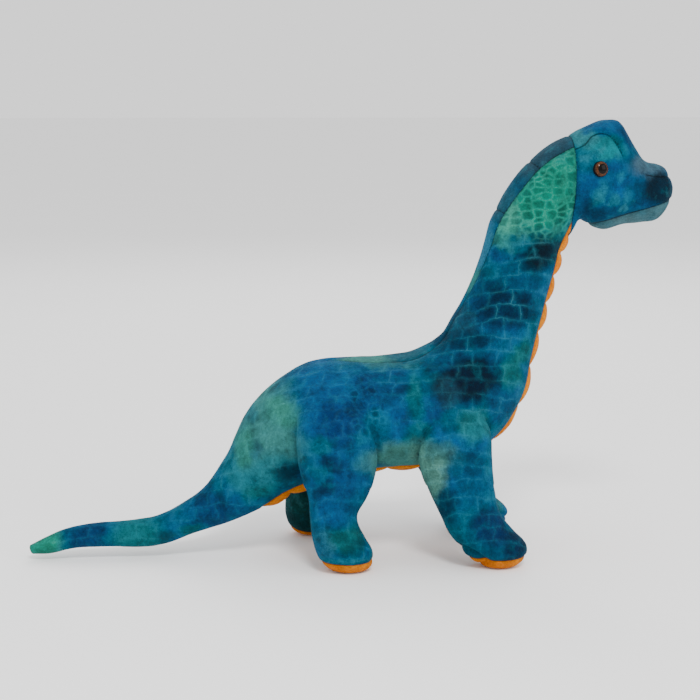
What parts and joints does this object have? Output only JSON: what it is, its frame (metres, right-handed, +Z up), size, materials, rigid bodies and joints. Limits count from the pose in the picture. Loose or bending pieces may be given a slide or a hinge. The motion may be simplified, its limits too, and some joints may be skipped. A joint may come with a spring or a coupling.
{
  "type": "stuffed dinosaur",
  "caption": "Plush long-necked dinosaur on four legs, with sewn covers over stuffing, plastic eyes, and a neck, head, tail and legs that flex.",
  "frame": {"origin": "on the floor, in the plane of symmetry, half way between the tail's tip and the snout", "axes": "+X is the way it faces, +Y its left side, +Z up"},
  "size_m": [0.468, 0.1378, 0.3189],
  "materials": {
    "filling": "loose polyester fibre",
    "dyed_pile": "short pile, tie-dyed in blue, teal and green",
    "back_pile": "short pile, slate blue",
    "chin_pile": "short pile, light teal",
    "orange_pile": "short pile, orange",
    "eye_plastic": "clear amber over black, polished",
    "washer_plastic": "moulded"
  },
  "bodies": {
    "torso": {"torso_filling": "filling", "torso_panel_right": "dyed_pile", "torso_panel_left": "dyed_pile", "torso_back_strip": "back_pile", "belly_strip": "orange_pile"},
    "neck": {"neck_filling": "filling", "neck_panel_right": "dyed_pile", "neck_panel_left": "dyed_pile", "neck_back_strip": "back_pile", "throat_strip": "orange_pile"},
    "head": {"head_filling": "filling", "head_side_right": "dyed_pile", "head_side_left": "dyed_pile", "crown_gusset": "dyed_pile", "chin_panel": "chin_pile", "eye_right": "eye_plastic", "eye_left": "eye_plastic", "eye_washer_right": "washer_plastic", "eye_washer_left": "washer_plastic"},
    "tail": {"tail_filling": "filling", "tail_panel_right": "dyed_pile", "tail_panel_left": "dyed_pile"},
    "hind_leg_right": {"hind_leg_filling_right": "filling", "hind_leg_outer_right": "dyed_pile", "hind_leg_inner_right": "dyed_pile", "hind_sole_right": "orange_pile"},
    "hind_leg_left": {"hind_leg_filling_left": "filling", "hind_leg_outer_left": "dyed_pile", "hind_leg_inner_left": "dyed_pile", "hind_sole_left": "orange_pile"},
    "fore_leg_right": {"fore_leg_filling_right": "filling", "fore_leg_outer_right": "dyed_pile", "fore_leg_inner_right": "dyed_pile", "fore_sole_right": "orange_pile"},
    "fore_leg_left": {"fore_leg_filling_left": "filling", "fore_leg_outer_left": "dyed_pile", "fore_leg_inner_left": "dyed_pile", "fore_sole_left": "orange_pile"}
  },
  "joints": [
    {"name": "neck_bend", "type": "hinge", "parent": "torso", "child": "neck", "pos_m": [0.105, 0, 0.162], "axis": [0, 1, 0], "range_deg": [-14, 14], "stiffness_Nm_per_rad": 2},
    {"name": "head_nod", "type": "hinge", "parent": "neck", "child": "head", "pos_m": [0.1395, 0, 0.272], "axis": [0, 1, 0], "range_deg": [-14, 14], "stiffness_Nm_per_rad": 0.8},
    {"name": "tail_wag", "type": "hinge", "parent": "torso", "child": "tail", "pos_m": [-0.088, 0, 0.045], "axis": [0, 0, 1], "range_deg": [-18, 18], "stiffness_Nm_per_rad": 0.2},
    {"name": "hind_swing_right", "type": "hinge", "parent": "torso", "child": "hind_leg_right", "pos_m": [-0.015, -0.04, 0.1], "axis": [0, 1, 0], "range_deg": [-10, 10], "stiffness_Nm_per_rad": 1.5},
    {"name": "hind_swing_left", "type": "hinge", "parent": "torso", "child": "hind_leg_left", "pos_m": [-0.015, 0.04, 0.1], "axis": [0, 1, 0], "range_deg": [-10, 10], "stiffness_Nm_per_rad": 1.5},
    {"name": "fore_swing_right", "type": "hinge", "parent": "torso", "child": "fore_leg_right", "pos_m": [0.068, -0.04, 0.1], "axis": [0, 1, 0], "range_deg": [-10, 10], "stiffness_Nm_per_rad": 1.5},
    {"name": "fore_swing_left", "type": "hinge", "parent": "torso", "child": "fore_leg_left", "pos_m": [0.068, 0.04, 0.1], "axis": [0, 1, 0], "range_deg": [-10, 10], "stiffness_Nm_per_rad": 1.5}
  ]
}
